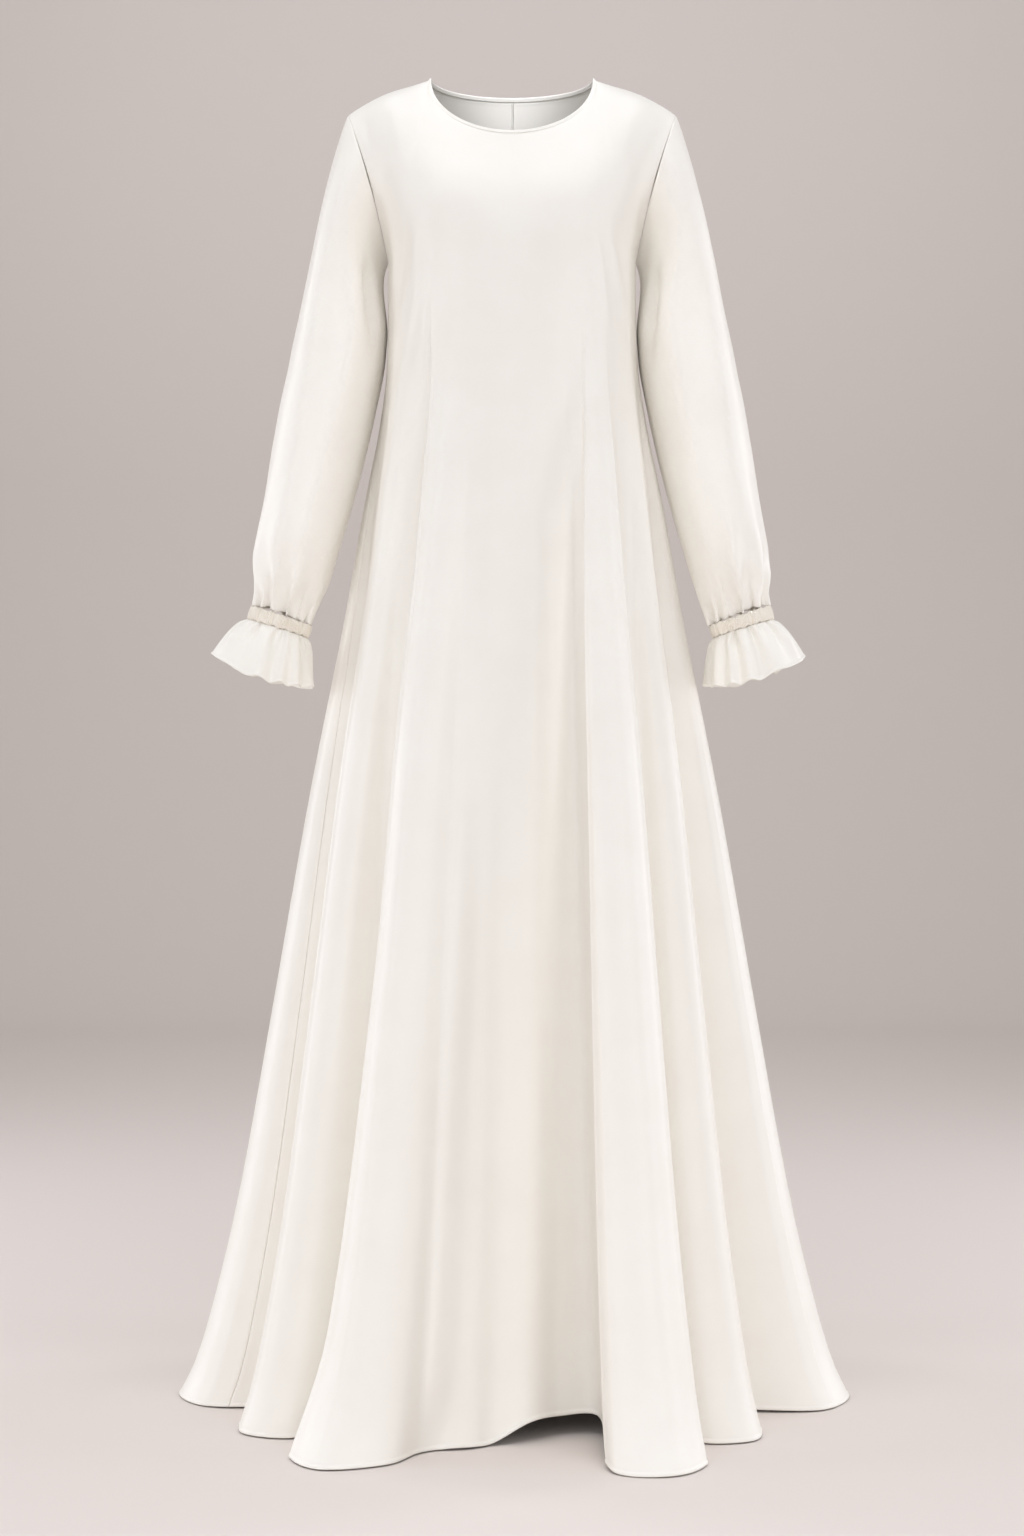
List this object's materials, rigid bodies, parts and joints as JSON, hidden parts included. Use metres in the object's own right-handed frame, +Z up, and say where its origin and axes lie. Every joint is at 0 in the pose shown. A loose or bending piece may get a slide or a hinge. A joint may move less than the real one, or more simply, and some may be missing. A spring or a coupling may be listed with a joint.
{
  "type": "abaya",
  "caption": "Floor-length ivory abaya with a round bound neck, A-line skirt in deep folds, and long sleeves gathered into elastic cuffs with flared wrist ruffles.",
  "frame": {"origin": "midway between the two shoulder seams, 20 mm below the high shoulder points beside the neck", "axes": "+Z up, -Y towards the garment's front, +X towards the wearer's left"},
  "size_m": [0.7399, 0.7282, 1.4654],
  "materials": {
    "ivory_crepe": "soft satin-backed polyester crepe, slightly lustrous",
    "shirred_elastic": "the same crepe, shirred into fine ribs over elastic"
  },
  "bodies": {
    "root": {"front": "ivory_crepe", "back_left": "ivory_crepe", "back_right": "ivory_crepe", "sleeve_left": "ivory_crepe", "sleeve_right": "ivory_crepe", "cuff_left": "shirred_elastic", "cuff_right": "shirred_elastic", "ruffle_left": "ivory_crepe", "ruffle_right": "ivory_crepe", "neck_binding": "ivory_crepe"}
  },
  "joints": []
}
